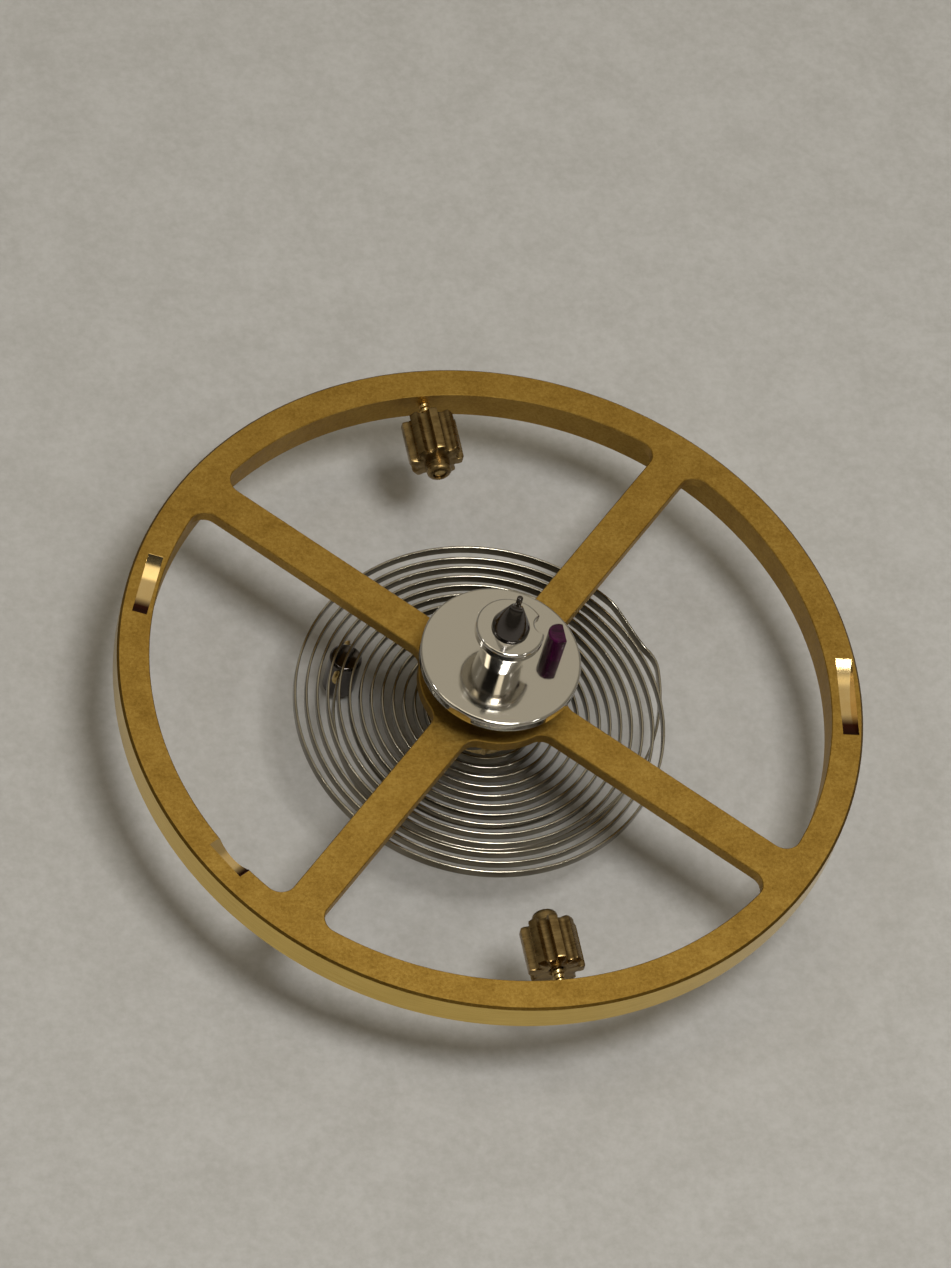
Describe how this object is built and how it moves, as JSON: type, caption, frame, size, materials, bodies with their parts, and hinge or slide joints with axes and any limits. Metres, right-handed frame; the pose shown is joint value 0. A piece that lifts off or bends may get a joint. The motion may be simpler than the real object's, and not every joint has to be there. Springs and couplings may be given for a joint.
{
  "type": "balance wheel",
  "caption": "Watch balance: a four-armed rim on a pivoted staff, with a double roller, jewel pin, star nuts and an overcoil hairspring that returns it to rest.",
  "frame": {"origin": "at the tip of the staff's cock-side pivot, on the staff's axis: the part's lowest point, which bears on the cap jewel", "axes": "+Z along the staff towards the roller and the dial-side pivot; +X from the staff through the impulse jewel at rest; +Y from the staff towards star nut A"},
  "size_m": [0.01, 0.01, 0.0037],
  "materials": {
    "gilt": "fine matt gilding",
    "nut_gold": "turned, satin",
    "collet_brass": "turned, satin",
    "pin_brass": "drawn, filed flat",
    "staff_steel": "turned and burnished",
    "polished_steel": "mirror polish",
    "spring_alloy": "rolled bright strip",
    "ruby": "polished synthetic ruby"
  },
  "bodies": {
    "stud": {"hairspring_stud": "staff_steel", "stud_pin": "pin_brass", "hairspring": "spring_alloy"},
    "balance": {"balance_wheel": "gilt", "balance_staff": "staff_steel", "roller_table": "polished_steel", "impulse_jewel": "ruby", "hairspring_collet": "collet_brass", "collet_pin": "pin_brass", "nut_post_a": "gilt", "nut_post_b": "gilt"},
    "star_nut_a": {"star_nut_a": "nut_gold"},
    "star_nut_b": {"star_nut_b": "nut_gold"}
  },
  "joints": [
    {"name": "balance_swing", "type": "hinge", "parent": "stud", "child": "balance", "pos_m": [0, 0, 0], "axis": [0, 0, 1], "range_deg": [-300, 300], "stiffness_Nm_per_rad": 0.000000833, "deforming": ["hairspring"]},
    {"name": "star_nut_a_turn", "type": "hinge", "parent": "balance", "child": "star_nut_a", "pos_m": [0, 0.0039, 0.00156], "axis": [0, 1, 0], "range_deg": [-360, 360]},
    {"name": "star_nut_b_turn", "type": "hinge", "parent": "balance", "child": "star_nut_b", "pos_m": [0, -0.0039, 0.00156], "axis": [0, -1, 0], "range_deg": [-360, 360]}
  ]
}
